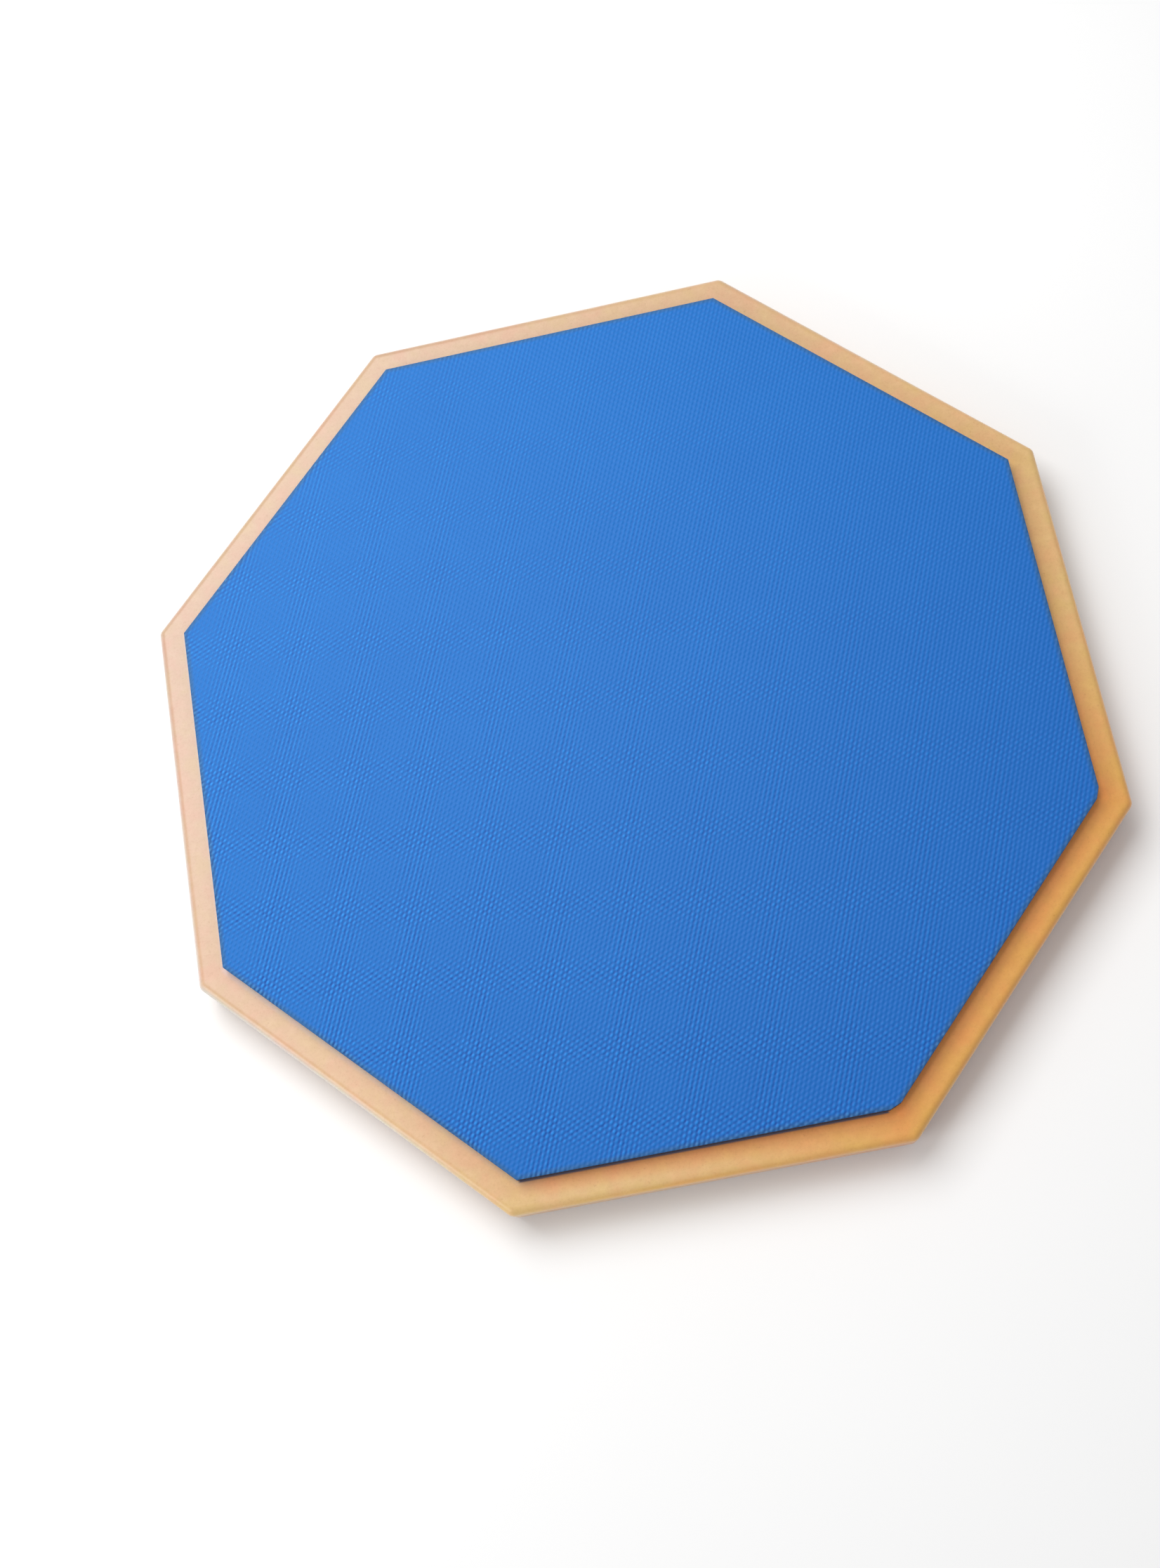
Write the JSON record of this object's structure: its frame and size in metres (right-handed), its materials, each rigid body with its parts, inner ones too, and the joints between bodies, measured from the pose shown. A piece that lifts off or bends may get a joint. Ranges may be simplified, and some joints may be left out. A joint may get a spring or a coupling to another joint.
{
  "type": "practice pad",
  "caption": "Octagonal drum practice pad: a rubber striking sheet glued to a fibreboard base that stands on a non-slip foam backing.",
  "frame": {"origin": "centre of the underside, on the surface that the pad stands on", "axes": "+Z out of the playing face; the eight flats face +X, +Y, -X, -Y and the diagonals between them"},
  "size_m": [0.3, 0.3, 0.0214],
  "materials": {
    "playing_rubber": "matte",
    "fibreboard": "satin",
    "contact_adhesive": "satin",
    "backing_foam": "matte"
  },
  "bodies": {
    "root": {"playing_surface": "playing_rubber", "surface_adhesive": "contact_adhesive", "base_board": "fibreboard", "backing_adhesive": "contact_adhesive", "nonslip_backing": "backing_foam"}
  },
  "joints": []
}
